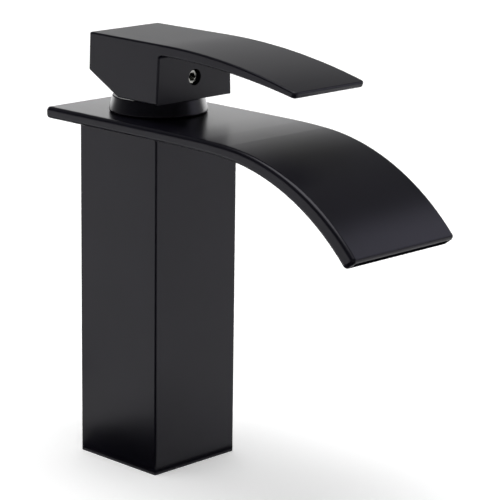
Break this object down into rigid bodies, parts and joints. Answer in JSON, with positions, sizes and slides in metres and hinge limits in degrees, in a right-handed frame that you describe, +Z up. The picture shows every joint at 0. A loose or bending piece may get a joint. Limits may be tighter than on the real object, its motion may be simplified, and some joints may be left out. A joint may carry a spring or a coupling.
{
  "type": "basin mixer tap",
  "caption": "Single-lever basin mixer with a square column, a wide flat spout that curves down at the front, and a flat lever on a square block.",
  "frame": {"origin": "centre of the column's foot on the basin, at the mouth of the fixing stud's thread", "axes": "+Z up along the column, the spout points to -Y, +X is the cold side on the user's right"},
  "size_m": [0.0572, 0.1696, 0.1764],
  "materials": {
    "black_paint": "satin black powder coat",
    "brass": "machined",
    "tube_metal": "drawn tube",
    "rubber": "matt",
    "white_plastic": "moulded",
    "grey_plastic": "moulded",
    "red_plastic": "moulded",
    "ceramic": "lapped",
    "steel": "polished"
  },
  "bodies": {
    "body": {"column_shell": "black_paint", "base_block": "brass", "base_gasket": "rubber", "hot_inlet_tube": "tube_metal", "cold_inlet_tube": "tube_metal", "valve_body": "brass", "spout_shell": "black_paint", "spout_floor": "black_paint", "flow_insert": "grey_plastic", "cartridge_nut": "brass", "cartridge_collar": "black_paint", "cartridge_base": "grey_plastic", "port_seals": "rubber", "housing_o_ring": "rubber", "fixed_disc": "ceramic", "cartridge_housing": "white_plastic", "turret_o_ring": "rubber", "slip_ring": "white_plastic"},
    "rotating_sleeve": {"turret": "grey_plastic", "spindle_pin": "steel", "temperature_limit_ring": "red_plastic"},
    "lever": {"handle": "black_paint", "spindle": "brass", "set_screw": "steel"},
    "disc_slider": {"disc_carrier": "white_plastic", "moving_disc": "ceramic"}
  },
  "joints": [
    {"name": "temperature_turn", "type": "hinge", "parent": "body", "child": "rotating_sleeve", "pos_m": [0, 0, 0.141], "axis": [0, 0, 1], "range_deg": [-50, 50]},
    {"name": "flow_lift", "type": "hinge", "parent": "rotating_sleeve", "child": "lever", "pos_m": [0, 0, 0.141], "axis": [-1, 0, 0], "range_deg": [0, 20]},
    {"name": "disc_slide", "type": "slide", "parent": "rotating_sleeve", "child": "disc_slider", "axis": [0, -1, 0], "range_m": [0, 0.0044]}
  ],
  "couplings": [
    {"joint": "disc_slide", "follows": "flow_lift", "m_per_rad": 0.0124}
  ]
}
